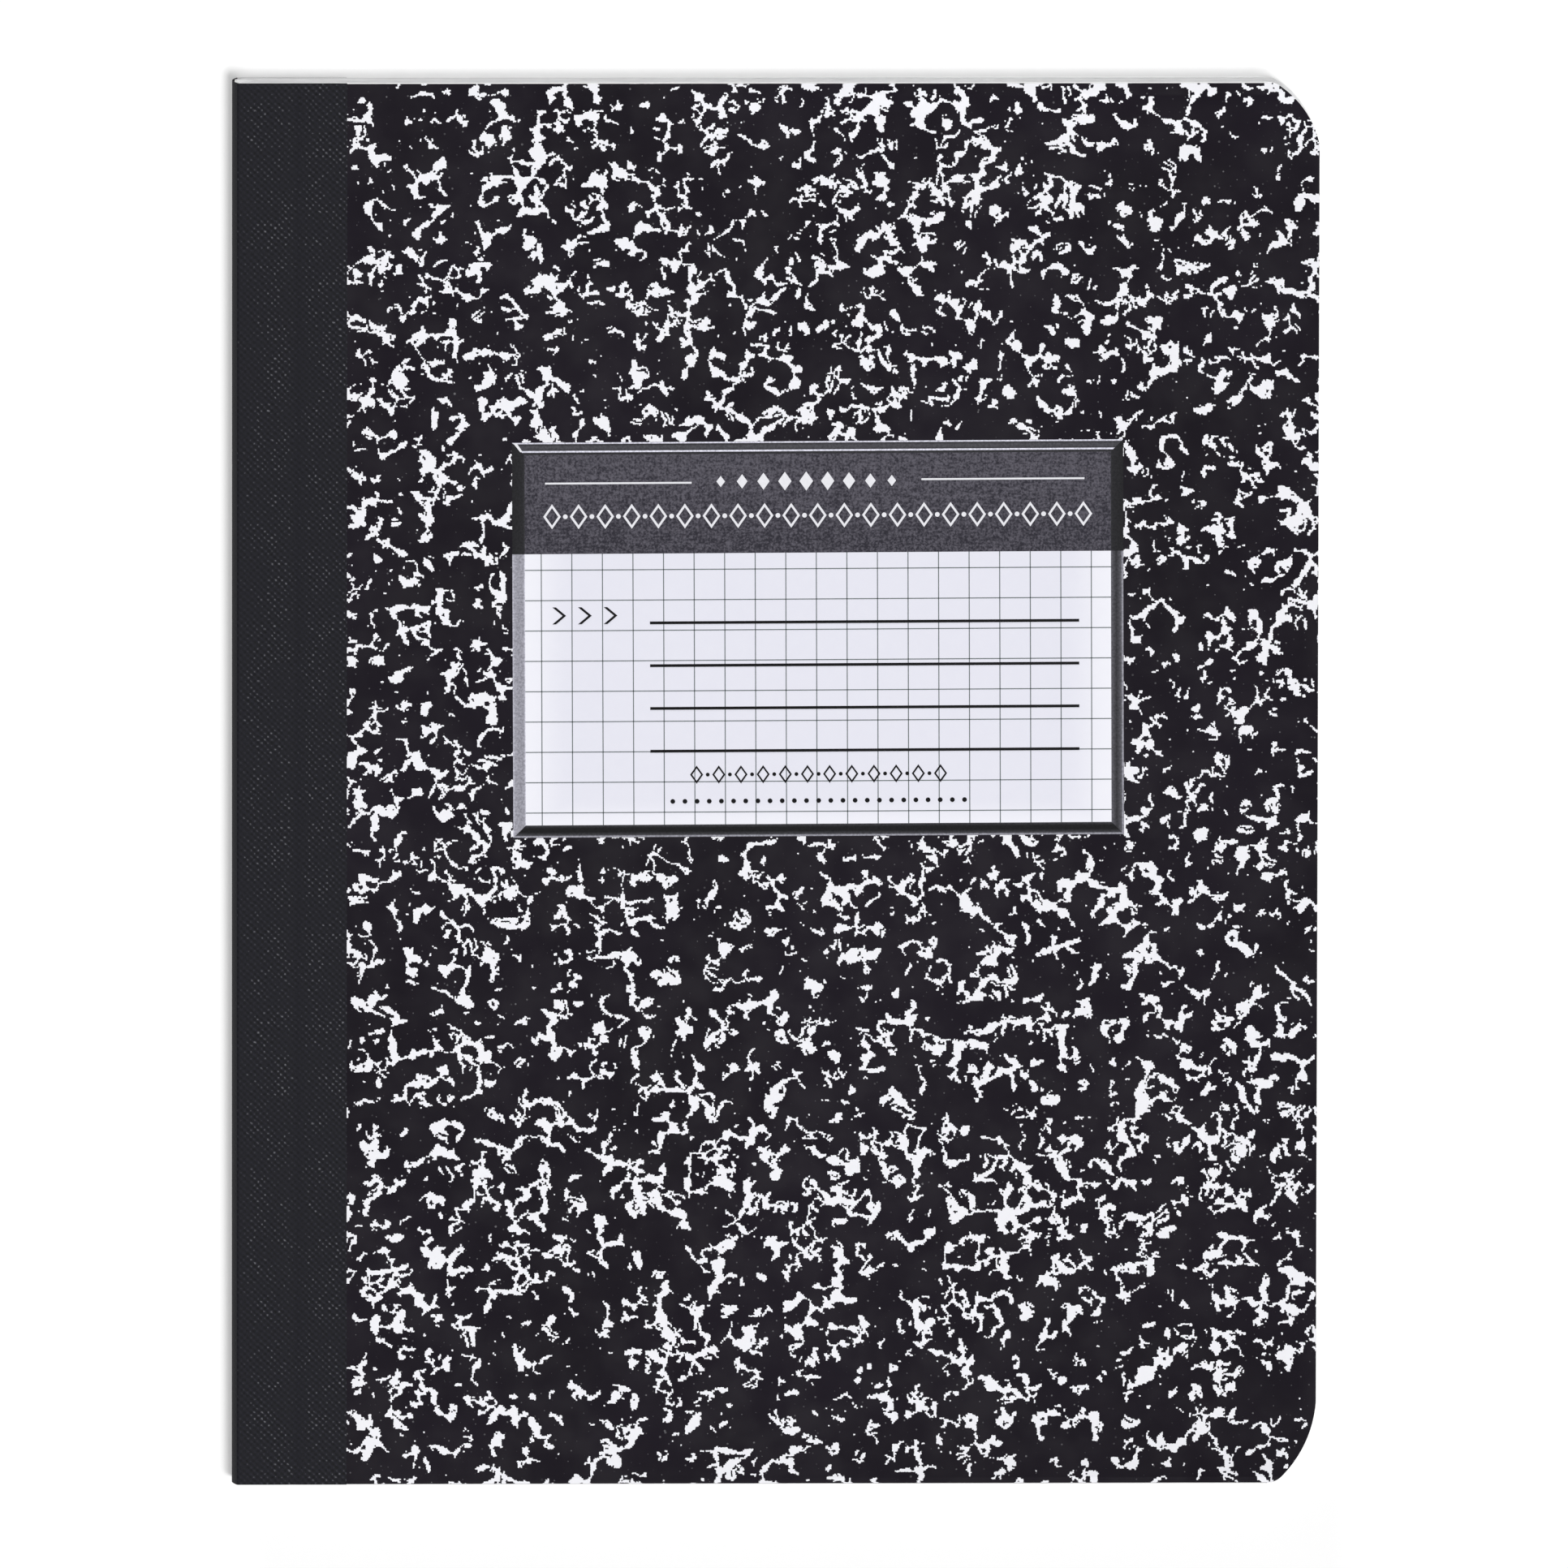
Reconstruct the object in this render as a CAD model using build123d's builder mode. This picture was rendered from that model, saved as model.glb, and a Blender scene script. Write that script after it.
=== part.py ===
"""Composition notebook: 80 leaves sewn through the fold between two marbled boards, spine taped in cloth.

Frame, in millimetres: the book lies closed on its back board. The spine runs along Y at -X, the head is
at +Y and the front board faces +Z. The origin is the middle of the back board's outer face.
"""

import os

from build123d import *

# The trimmed book
book_height = 247.65  # head to tail, 9 3/4 in
book_width = 190.5  # outermost point of the spine to the fore-edge, 7 1/2 in
leaf_thickness = 0.094
leaf_count = 80
board_thickness = 0.9
board_air = 0.1  # looseness between a board and the leaves beside it

# Round corners at the fore-edge: how far each cut runs along the two edges, and its radius
head_corner_width = 8.0
head_corner_height = 11.0
head_corner_radius = 16.7
tail_corner_width = 7.2
tail_corner_height = 14.3
tail_corner_radius = 21.0
corner_blend = 4.0  # small radius where a corner's cut meets a straight edge

# Cloth tape over the spine, pressed flush into both boards
tape_thickness = 0.18
tape_flap = 20.1  # from the spine's outermost point to the tape's edge
tape_fold_radius = 0.5
spine_bulge = 0.9  # how far the spine stands out past its shoulders
glue_line = 0.2  # between the tape and the back of the folded leaves
shoulder_play = 0.1  # from a shoulder, where a board hinges, to that board's spine edge

# The score that lets a board bend: a shallow trough pressed into the tape and the board
score_start = 9.8  # from the spine's outermost point
score_width = 2.0
score_depth = 0.08

# Sewing through the fold
thread_diameter = 0.5
drawn_thread_diameter = 0.4  # the thread where it is drawn tight through a needle hole
thread_play = 0.05
needle_play = 0.2  # how much wider a needle hole is than the thread
stitch_length = 10.0

# Heights and places worked out from the sizes above
block_thickness = leaf_thickness * leaf_count
book_thickness = block_thickness + 2 * (board_thickness + board_air)
half_block = block_thickness / 2
half_book = book_thickness / 2
seat_height = half_book - tape_thickness  # of a board's tape seat, from the book's middle plane
block_bottom = board_thickness + board_air
front_cover_bottom = book_thickness - board_thickness

head_y = book_height / 2
fore_edge_x = book_width / 2
spine_x = -book_width / 2
shoulder_x = spine_x + spine_bulge
inner_shoulder_x = shoulder_x + tape_thickness / 2
board_x = shoulder_x + shoulder_play
score_x = spine_x + score_start
flap_x = spine_x + tape_flap

thread_radius = thread_diameter / 2
groove_radius = thread_radius + thread_play
tape_inside_x = spine_x + tape_thickness  # the tape's inner face at the middle of the spine
fold_x = tape_inside_x + glue_line  # outermost point of the folded leaves
fold_edge_x = fold_x + (inner_shoulder_x - tape_inside_x) * (half_block / seat_height) ** 2
outer_thread_x = fold_x + groove_radius
inner_thread_x = fold_x + half_block + thread_radius
stitch_count = int(book_height / stitch_length)

# Sections across the spine are drawn at the head, about the middle plane, and run down to the tail
section_plane = Plane(origin=(0, head_y, half_book), x_dir=(1, 0, 0), z_dir=(0, -1, 0))
# Needle holes are drawn on the outer thread's line and run towards the fore-edge
stitch_plane = Plane(origin=(outer_thread_x, 0, half_book), x_dir=(0, 1, 0), z_dir=(1, 0, 0))


def trimmed_outline(start_x):
    """The book's flat outline from start_x to the fore-edge, with its two rounded corners."""
    with BuildSketch() as outline:
        with BuildLine():
            head_cut = RadiusArc(
                (fore_edge_x - head_corner_width, head_y),
                (fore_edge_x, head_y - head_corner_height),
                head_corner_radius,
            )
            tail_cut = RadiusArc(
                (fore_edge_x, tail_corner_height - head_y),
                (fore_edge_x - tail_corner_width, -head_y),
                tail_corner_radius,
            )
            Line(head_cut @ 1, tail_cut @ 0)
            Polyline(tail_cut @ 1, (start_x, -head_y), (start_x, head_y), head_cut @ 0)
        make_face()
        corners = outline.vertices().filter_by(lambda vertex: vertex.X > start_x)
        fillet(corners.sort_by(Axis.X)[-4:], corner_blend)
    return outline.sketch


def flap_line(start_x, height):
    """A tape flap's line across the board at a height over the middle plane, with the score's trough."""
    score_end_x = score_x + score_width
    Line((start_x, height), (score_x, height))
    ThreePointArc(
        (score_x, height),
        (score_x + score_width / 2, height - score_depth),
        (score_end_x, height),
    )
    Line((score_end_x, height), (flap_x, height))


# Front board, with a shallow seat where the tape is pressed into its outer face
with BuildPart() as front_cover:
    with BuildSketch(Plane.XY.offset(front_cover_bottom)):
        add(trimmed_outline(board_x))
    extrude(amount=board_thickness)
    with BuildSketch(section_plane):
        with BuildLine():
            flap_line(shoulder_x, seat_height)
            Polyline(
                (flap_x, seat_height),
                (flap_x, half_book),
                (shoulder_x, half_book),
                (shoulder_x, seat_height),
            )
        make_face()
    extrude(amount=book_height, mode=Mode.SUBTRACT)
    spine_edges = front_cover.edges().filter_by(Axis.Y).group_by(Axis.X)[0]
    fillet(spine_edges.sort_by(Axis.Z)[-1], tape_fold_radius - tape_thickness)
front_cover.part.label = "front_cover"

# The back board is the front one turned over
with BuildPart() as back_cover:
    mirror(front_cover.part, about=Plane.XY.offset(half_book))
back_cover.part.label = "back_cover"

# The tape is one strip, folded round the spine into a U
with BuildPart() as spine_tape:
    with BuildSketch(section_plane) as tape_section:
        with BuildLine():
            flap_line(shoulder_x, half_book)
            Line((flap_x, half_book), (flap_x, seat_height))
            flap_line(inner_shoulder_x, seat_height)
            mirror(about=Plane.XZ)
            ThreePointArc((shoulder_x, -half_book), (spine_x, 0), (shoulder_x, half_book))
            ThreePointArc(
                (inner_shoulder_x, -seat_height),
                (tape_inside_x, 0),
                (inner_shoulder_x, seat_height),
            )
        make_face()
        fillet(tape_section.vertices().group_by(Axis.X)[1], tape_fold_radius - tape_thickness)
        fillet(tape_section.vertices().group_by(Axis.X)[0], tape_fold_radius)
    extrude(amount=book_height)
spine_tape.part.label = "spine_tape"

# The leaves, folded and trimmed as one block. The outer thread lies in a groove down the back of the fold,
# the inner thread lies in the middle opening, and needle holes join the two.
with BuildPart() as page_block:
    with BuildSketch(Plane.XY.offset(block_bottom)):
        add(trimmed_outline(spine_x))
    extrude(amount=block_thickness)
    with BuildSketch(section_plane):
        with BuildLine():
            fold = ThreePointArc((fold_edge_x, -half_block), (fold_x, 0), (fold_edge_x, half_block))
            Polyline(fold @ 1, (fore_edge_x, half_block), (fore_edge_x, -half_block), fold @ 0)
        make_face()
        with Locations((outer_thread_x, 0), (inner_thread_x, 0)):
            Circle(groove_radius, mode=Mode.SUBTRACT)
        with Locations((fold_x, 0)):
            Rectangle(2 * groove_radius, 2 * groove_radius, mode=Mode.SUBTRACT)
    extrude(amount=book_height, mode=Mode.INTERSECT)
    with BuildSketch(stitch_plane):
        with GridLocations(stitch_length, 0, stitch_count, 1):
            Circle((thread_diameter + needle_play) / 2)
    extrude(amount=inner_thread_x - outer_thread_x, mode=Mode.SUBTRACT)
page_block.part.label = "page_block"

# Needle thread: along the back of the fold, and through each hole to just short of the inner thread
with BuildPart() as outer_thread:
    with BuildSketch(section_plane):
        with Locations((outer_thread_x, 0)):
            Circle(thread_radius)
    extrude(amount=book_height)
    with BuildSketch(stitch_plane):
        with GridLocations(stitch_length, 0, stitch_count, 1):
            Circle(drawn_thread_diameter / 2)
    extrude(amount=inner_thread_x - outer_thread_x - thread_radius - thread_play)
outer_thread.part.label = "outer_thread"

# Bobbin thread in the middle opening of the leaves
with BuildPart() as inner_thread:
    with BuildSketch(section_plane):
        with Locations((inner_thread_x, 0)):
            Circle(thread_radius)
    extrude(amount=book_height)
inner_thread.part.label = "inner_thread"

os.makedirs("parts", exist_ok=True)
for piece in (front_cover, back_cover, page_block, spine_tape, outer_thread, inner_thread):
    export_step(piece.part, f"parts/{piece.part.label}.step")
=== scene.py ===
import math

import bpy
import numpy as np
from mathutils import Matrix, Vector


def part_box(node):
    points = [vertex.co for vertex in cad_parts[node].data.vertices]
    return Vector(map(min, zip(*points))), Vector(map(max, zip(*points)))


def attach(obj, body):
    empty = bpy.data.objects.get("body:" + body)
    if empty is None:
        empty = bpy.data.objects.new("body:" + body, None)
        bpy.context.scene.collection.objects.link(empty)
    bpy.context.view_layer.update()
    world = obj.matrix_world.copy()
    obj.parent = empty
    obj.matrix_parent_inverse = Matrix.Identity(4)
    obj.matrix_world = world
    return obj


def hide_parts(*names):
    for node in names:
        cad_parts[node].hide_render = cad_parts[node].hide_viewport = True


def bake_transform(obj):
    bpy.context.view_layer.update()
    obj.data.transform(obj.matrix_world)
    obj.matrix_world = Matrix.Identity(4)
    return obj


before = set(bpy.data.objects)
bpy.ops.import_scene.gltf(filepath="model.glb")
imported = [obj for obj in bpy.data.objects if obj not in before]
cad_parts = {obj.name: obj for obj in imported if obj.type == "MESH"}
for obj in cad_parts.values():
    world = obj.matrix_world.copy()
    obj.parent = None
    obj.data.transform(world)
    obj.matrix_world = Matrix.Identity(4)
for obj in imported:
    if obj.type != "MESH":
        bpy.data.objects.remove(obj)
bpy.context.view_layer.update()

# ---- The two boards ----
# Sheets of pressed white card with marbled paper on the outside and plain paper on the inside. They are
# cut with the leaves in one stroke, so that their corners match, and carry a shallow seat for the tape.

MM = 1000.0  # millimetres in a metre; every length below is in millimetres until it enters a mesh
board_low, board_high = (np.array(corner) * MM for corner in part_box("front_cover"))
tape_low, tape_high = (np.array(corner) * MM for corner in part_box("spine_tape"))
board_x = board_low[0]
fore_edge_x = board_high[0]
head_y = board_high[1]
book_top = board_high[2]
board_thickness = board_high[2] - board_low[2]
book_middle = book_top / 2
spine_x = tape_low[0]
flap_x = tape_high[0]

# Round corners: how far each cut runs along the head or tail and along the fore-edge, and its radius
head_cut = (8.0, 11.0, 16.7)
tail_cut = (7.2, 14.3, 21.0)
cut_blend = 4.0  # small radius where a cut meets a straight edge
tape_thickness = 0.18
score_start = 9.8  # from the spine's outermost point
score_width = 2.0
score_depth = 0.08
outer_rounding = 0.12  # of the cut edge under the printed paper
inner_rounding = 0.05
seat_rounding = 0.3  # of the seat's edge at the spine
seat_rounding_step = 0.09  # how far in from both faces the middle of that rounding lies


def corner_line(width, height, radius, steps):
    """Points and outward normals round one cut corner, as the normal turns from 0 to 90 degrees.

    A circle of the cut's radius passes through both ends of the cut. Smaller circles of the blend's
    radius lie inside it and touch the head and the fore-edge. Each point is a circle's middle plus its
    radius along the normal, and the normal's direction says which of the three circles it is on."""
    chord = math.hypot(width, height)
    rise = math.sqrt(radius**2 - chord**2 / 4)
    middle = np.array([
        fore_edge_x - width / 2 - rise * height / chord,
        head_y - height / 2 - rise * width / chord,
    ])
    reach = radius - cut_blend
    side = np.array([fore_edge_x - cut_blend, 0.0])
    side[1] = middle[1] + math.sqrt(reach**2 - (side[0] - middle[0]) ** 2)
    top = np.array([0.0, head_y - cut_blend])
    top[0] = middle[0] + math.sqrt(reach**2 - (top[1] - middle[1]) ** 2)
    first = math.atan2(side[1] - middle[1], side[0] - middle[0])
    last = math.atan2(top[1] - middle[1], top[0] - middle[0])
    turn = np.linspace(0, math.pi / 2, steps)
    normal = np.stack([np.cos(turn), np.sin(turn)], 1)
    near_side, near_top = turn[:, None] < first, turn[:, None] > last
    centre = np.where(near_side, side, np.where(near_top, top, middle))
    size = np.where(near_side | near_top, cut_blend, radius)
    return centre + size * normal, normal


def trimmed_edge(steps):
    """Fore-edge line of the trimmed book from the tail to the head, with its outward normals."""
    head, head_normal = corner_line(*head_cut, steps)
    tail, tail_normal = corner_line(*tail_cut, steps)
    downward = np.array([1.0, -1.0])
    points = np.concatenate([tail[::-1] * downward, head])
    normals = np.concatenate([tail_normal[::-1] * downward, head_normal])
    return points, normals


def add_mesh(name, points, faces, finishes, finish_of_face=None, smooth_angle=None):
    """A mesh object at the origin from points in millimetres, with one material slot for each finish."""
    mesh = bpy.data.meshes.new(name)
    mesh.from_pydata((np.asarray(points).reshape(-1, 3) / MM).tolist(), [], faces)
    for finish in finishes:
        mesh.materials.append(finish)
    if finish_of_face is not None:
        mesh.polygons.foreach_set("material_index", np.asarray(finish_of_face, np.int32))
    if smooth_angle is not None:
        mesh.shade_smooth()
        mesh.set_sharp_from_angle(angle=math.radians(smooth_angle))
    mesh.update()
    piece = bpy.data.objects.new(name, mesh)
    bpy.context.scene.collection.objects.link(piece)
    return piece


def carried_faces(stations, around):
    """Faces of a closed profile carried through stations, one with four corners for each of its sides."""
    station = np.arange(stations - 1)[:, None] * around
    here = np.arange(around)[None, :]
    ahead = (here + 1) % around
    corners = [station + here, station + ahead, station + around + ahead, station + around + here]
    return np.stack(corners, -1).reshape(-1, 4)


class Finish:
    """A material in the making, in millimetres. Each method adds one node and hands back its output."""

    def __init__(self, name, shift=(0, 0, 0), uv_map=None):
        self.material = bpy.data.materials.new(name)
        self.material.use_nodes = True
        self.nodes = self.material.node_tree.nodes
        self.links = self.material.node_tree.links
        self.shader = self.nodes["Principled BSDF"]
        if uv_map:
            source = self.nodes.new("ShaderNodeUVMap")
            source.uv_map = uv_map
            place = source.outputs["UV"]
        else:
            place = self.nodes.new("ShaderNodeTexCoord").outputs["Object"]
        mapping = self.nodes.new("ShaderNodeMapping")
        mapping.inputs["Scale"].default_value = (MM, MM, MM)
        mapping.inputs["Location"].default_value = shift
        self.links.new(place, mapping.inputs["Vector"])
        self.place = mapping.outputs["Vector"]

    def put(self, value, socket):
        if isinstance(value, bpy.types.NodeSocket):
            self.links.new(value, socket)
        else:
            socket.default_value = value

    def math(self, operation, *values):
        node = self.nodes.new("ShaderNodeMath")
        node.operation = operation
        for value, socket in zip(values, node.inputs):
            self.put(value, socket)
        return node.outputs[0]

    def vector(self, operation, first, second):
        node = self.nodes.new("ShaderNodeVectorMath")
        node.operation = operation
        self.put(first, node.inputs[0])
        self.put(second, node.inputs["Scale"] if operation == "SCALE" else node.inputs[1])
        return node.outputs[0]

    def noise(self, place, size, detail=0.0, roughness=0.5, output="Fac"):
        node = self.nodes.new("ShaderNodeTexNoise")
        self.put(place, node.inputs["Vector"])
        node.inputs["Scale"].default_value = 1 / size
        node.inputs["Detail"].default_value = detail
        node.inputs["Roughness"].default_value = roughness
        return node.outputs[output]

    def shifted_noise(self, size, shift, detail=0.0):
        return self.noise(self.vector("ADD", self.place, shift), size, detail)

    def cells(self, place, size, feature):
        """Distance in millimetres to the nearest cell edge or cell point of a flat Voronoi pattern."""
        node = self.nodes.new("ShaderNodeTexVoronoi")
        node.voronoi_dimensions = "2D"
        node.feature = feature
        self.put(place, node.inputs["Vector"])
        node.inputs["Scale"].default_value = 1 / size
        return self.math("MULTIPLY", node.outputs["Distance"], size)

    def within(self, width, place, size, feature="F1"):
        """1 where the nearest cell edge or cell point is nearer than width, and 0 elsewhere."""
        return self.math("LESS_THAN", self.cells(place, size, feature), width)

    def separate(self, place):
        node = self.nodes.new("ShaderNodeSeparateXYZ")
        self.put(place, node.inputs[0])
        return node.outputs

    def mix(self, factor, first, second):
        node = self.nodes.new("ShaderNodeMix")
        node.data_type = "RGBA"
        self.put(factor, node.inputs["Factor"])
        self.put(first, node.inputs[6])
        self.put(second, node.inputs[7])
        return node.outputs[2]

    def ramp(self, value, low, high, to_low=0.0, to_high=1.0):
        node = self.nodes.new("ShaderNodeMapRange")
        node.interpolation_type = "SMOOTHSTEP"
        self.put(value, node.inputs["Value"])
        for socket, number in zip(node.inputs[1:5], (low, high, to_low, to_high)):
            self.put(number, socket)
        return node.outputs["Result"]

    def bump(self, height, depth):
        """Bump of a height from 0 to 1 that stands for a depth in millimetres."""
        node = self.nodes.new("ShaderNodeBump")
        node.inputs["Distance"].default_value = depth / MM
        self.put(height, node.inputs["Height"])
        self.links.new(node.outputs["Normal"], self.shader.inputs["Normal"])

    def done(self, colour, roughness, specular=0.3, sheen=0.0):
        self.put(colour, self.shader.inputs["Base Color"])
        self.put(roughness, self.shader.inputs["Roughness"])
        self.shader.inputs["Specular IOR Level"].default_value = specular
        self.shader.inputs["Sheen Weight"].default_value = sheen
        return self.material


MARBLE_BLACK = (0.0056, 0.0037, 0.0078, 1)
MARBLE_CLOUD = tuple(1.35 * part for part in MARBLE_BLACK[:3]) + (1,)
MARBLE_WHITE = (0.86, 0.86, 0.9, 1)
facet_size = 0.26
facet_unevenness = 0.55
reduction = 1.22  # the pattern is laid out this much larger than it is printed
vein_cell, twig_cell = 6.2, 2.7
twig_width = 0.34
speck_pitch, hole_pitch, dust_pitch = 3.0, 3.4, 2.2
paper_grain, grain_depth = 0.22, 0.006


def marbled_paper(name, shift):
    """Black paper with white marbling, a pattern of the common kind.

    White is wherever the edge of a wandering cell is nearer than a width that noise makes thick, thin or
    less than nothing, which breaks the line. Finer twigs and specks lie between, and pinholes in it.
    Places are rounded to small facets, which make every rim angular. Black carries faint dust."""
    paper = Finish(name, shift)
    smooth_place = paper.place
    facets = paper.nodes.new("ShaderNodeTexVoronoi")
    facets.voronoi_dimensions = "2D"
    facets.inputs["Scale"].default_value = 1 / facet_size
    facets.inputs["Randomness"].default_value = facet_unevenness
    paper.put(smooth_place, facets.inputs["Vector"])
    paper.place = place = paper.vector("SCALE", facets.outputs["Position"], reduction)

    def wander(size, amount, offset):
        colour = paper.noise(paper.vector("ADD", place, offset), size, output="Color")
        return paper.vector("SCALE", paper.vector("SUBTRACT", colour, (0.5, 0.5, 0.5)), amount)

    small_wander = wander(0.8, 0.5, (3, 8, 5))
    wandered = paper.vector("ADD", place, wander(6.0, 5.5, (0, 0, 0)))
    wandered = paper.vector("ADD", wandered, wander(2.0, 2.4, (9, 4, 2)))
    wandered = paper.vector("ADD", wandered, small_wander)
    density = paper.shifted_noise(9.0, (80, 10, 0))

    def line_width(noise, crowding, slope, start, widest):
        crowded = paper.math("ADD", noise, paper.math("MULTIPLY_ADD", density, crowding, -crowding / 2))
        return paper.math("MINIMUM", paper.math("MULTIPLY_ADD", crowded, slope, start), widest)

    swell = paper.math("POWER", paper.shifted_noise(1.9, (60, 5, 1)), 3.0)
    widest = paper.math("MULTIPLY_ADD", swell, 3.4, 0.16)
    width = line_width(paper.shifted_noise(4.2, (0, 40, 6)), 0.24, 11.0, -5.62, widest)
    veins = paper.within(width, wandered, vein_cell, "DISTANCE_TO_EDGE")
    width = line_width(paper.shifted_noise(3.6, (50, 20, 9)), 0.3, 8.0, -5.2, twig_width)
    twig_place = paper.vector("ADD", wandered, (31, 17, 0))
    twigs = paper.within(width, twig_place, twig_cell, "DISTANCE_TO_EDGE")

    speck_size = paper.math("MULTIPLY_ADD", paper.shifted_noise(1.5, (0, 70, 3)), 1.9, -1.14)
    specks = paper.within(speck_size, paper.vector("ADD", place, small_wander), speck_pitch)
    white = paper.math("MAXIMUM", paper.math("MAXIMUM", veins, twigs), specks)
    hole_place = paper.vector("ADD", place, (11, 23, 0))
    hole_size = paper.math("MULTIPLY_ADD", paper.shifted_noise(2.0, (17, 3, 2)), 0.9, -0.22)
    solid = paper.math("GREATER_THAN", paper.cells(hole_place, hole_pitch, "F1"), hole_size)
    white = paper.math("MULTIPLY", white, solid)

    paper.place = smooth_place
    dust_size = paper.math("MULTIPLY_ADD", paper.shifted_noise(2.3, (7, 33, 1)), 0.34, -0.09)
    dust = paper.within(dust_size, smooth_place, dust_pitch)
    dust_strength = paper.ramp(paper.shifted_noise(1.1, (5, 2, 8)), 0.3, 0.75, 0.02, 0.14)
    dust = paper.math("MULTIPLY", dust, dust_strength)
    cloud = paper.ramp(paper.shifted_noise(26.0, (4, 4, 4), 2.0), 0.3, 0.7)
    black = paper.mix(cloud, MARBLE_BLACK, MARBLE_CLOUD)
    black = paper.mix(dust, black, MARBLE_WHITE)
    paper.bump(paper.noise(smooth_place, paper_grain, 2.0, 0.6), grain_depth)
    roughness = paper.ramp(paper.shifted_noise(7.0, (1, 9, 1), 2.0), 0.25, 0.75, 0.6, 0.74)
    return paper.done(paper.mix(white, black, MARBLE_WHITE), roughness, 0.13)


CARD_DARK, CARD_LIGHT = (0.74, 0.74, 0.74, 1), (0.93, 0.93, 0.93, 1)
LINING_DARK, LINING_LIGHT = (0.76, 0.76, 0.765, 1), (0.86, 0.86, 0.865, 1)


def pressed_card():
    """Cut edge of the white card: thin layers along the board, with short fibres."""
    card = Finish("pressed_card")
    stretched = card.vector("MULTIPLY", card.place, (0.25, 0.25, 9.0))
    layers = card.noise(stretched, 1.0, 2.0, 0.6)
    colour = card.mix(layers, CARD_DARK, CARD_LIGHT)
    card.bump(card.noise(card.place, 0.12, 1.0), 0.02)
    return card.done(colour, card.ramp(layers, 0.0, 1.0, 0.75, 0.9), 0.2)


def lining_paper():
    """Plain white lining paper inside a board, a little cloudy with fine fibres."""
    lining = Finish("lining_paper")
    cloud = lining.noise(lining.place, 3.0, 3.0, 0.65)
    colour = lining.mix(cloud, LINING_DARK, LINING_LIGHT)
    lining.bump(lining.noise(lining.place, 0.2, 2.0, 0.6), 0.008)
    return lining.done(colour, lining.ramp(cloud, 0.0, 1.0, 0.6, 0.8), 0.25)


card_finish = pressed_card()
lining_finish = lining_paper()
edge_points, edge_normals = trimmed_edge(26)
MARBLED, CARD, LINING = 0, 1, 2


def board_profile():
    """The board's closed outline across the spine, from the inner face round the fore-edge to the seat.

    Each row is a distance in from the fore-edge line (or None for a fixed place along X), that place, a
    height over the inner face and the finish of the side that follows."""
    seat = board_thickness - tape_thickness
    trough_x = spine_x + score_start
    outer, inner = outer_rounding, inner_rounding
    half_turn = math.sqrt(0.5)
    rows = [
        (None, board_x, 0, LINING),
        (inner, 0, 0, CARD),
        (0, 0, inner, CARD),
        (0, 0, board_thickness - outer, MARBLED),
        (outer * (1 - half_turn), 0, board_thickness - outer * (1 - half_turn), MARBLED),
        (outer, 0, board_thickness, MARBLED),
        (None, flap_x, board_thickness, MARBLED),
        (None, flap_x, seat, MARBLED),
    ]
    for turn in np.linspace(1, -1, 7):
        place_x = trough_x + score_width * (1 + turn) / 2
        rows.append((None, place_x, seat - score_depth * (1 - turn**2), MARBLED))
    rows += [
        (None, board_x + seat_rounding, seat, MARBLED),
        (None, board_x + seat_rounding_step, seat - seat_rounding_step, MARBLED),
        (None, board_x, seat - seat_rounding, CARD),
    ]
    return rows


LINING_SIDE, ROUNDED_SIDE, PRINTED_SIDE, SEAT_SIDE = 0, 4, 5, 6  # sides of the profile, in its order
map_margin = 0.005
printed_share, lining_share = 0.99, 0.28  # of the map, for the one's height and the other's width
lining_u, seat_u, rim_u, ends_u = 0.71, 0.72, 0.78, 0.82  # where each begins across the map
strips_v, rim_length = 0.40, 0.58  # where the narrow strips begin up the map, and the rim's length
edge_stretch = 4  # edges are mapped this much wider than the faces
rim_step, end_step = 0.3, 0.02


def add_bake_map(mesh, side_of_face, around, z):
    """Flat map for the board. The marbled face fills most of it, and lining, seat, rim and ends share the
    rest. Faces look at X and Y, the rim at distance along the fore-edge, and ends at X and height."""
    corner_count = np.array([len(face.vertices) for face in mesh.polygons])
    side = np.repeat(np.concatenate([side_of_face, [around, around + 1]]), corner_count)
    vertex = np.empty(len(mesh.loops), np.int32)
    mesh.loops.foreach_get("vertex_index", vertex)
    place = np.empty(len(mesh.vertices) * 3)
    mesh.vertices.foreach_get("co", place)
    place = place.reshape(-1, 3)[vertex] * MM
    step = np.linalg.norm(np.diff(edge_points, axis=0), axis=1)
    along = np.concatenate([[0], np.cumsum(step)]) / step.sum()
    along = along[vertex // around]
    lift = abs(place[:, 2] - z[0])  # height over the inner face
    across, up = place[:, 0] - board_x, place[:, 1] + head_y
    whole, part = printed_share / (2 * head_y), lining_share / (fore_edge_x - board_x)
    narrow = edge_stretch * part
    beyond_rim = np.where(side == ROUNDED_SIDE, rim_step, 0)
    islands = [
        (side == PRINTED_SIDE, map_margin + (place[:, 0] - flap_x) * whole, map_margin + up * whole),
        (side == LINING_SIDE, lining_u + across * part, map_margin + up * part),
        (side >= around, ends_u + lift * narrow + (side - around) * end_step, strips_v + across * part),
        (side >= SEAT_SIDE, seat_u + (across - board_thickness + lift) * part, strips_v + up * part),
    ]
    rim = np.stack([rim_u + (lift + beyond_rim) * narrow, strips_v + along * rim_length], 1)
    groups = [group[:, None] for group, _, _ in islands]
    chosen = np.select(groups, [np.stack([u, v], 1) for _, u, v in islands], rim)
    mesh.uv_layers.new(name="OFBake").data.foreach_set("uv", chosen.ravel())


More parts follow.
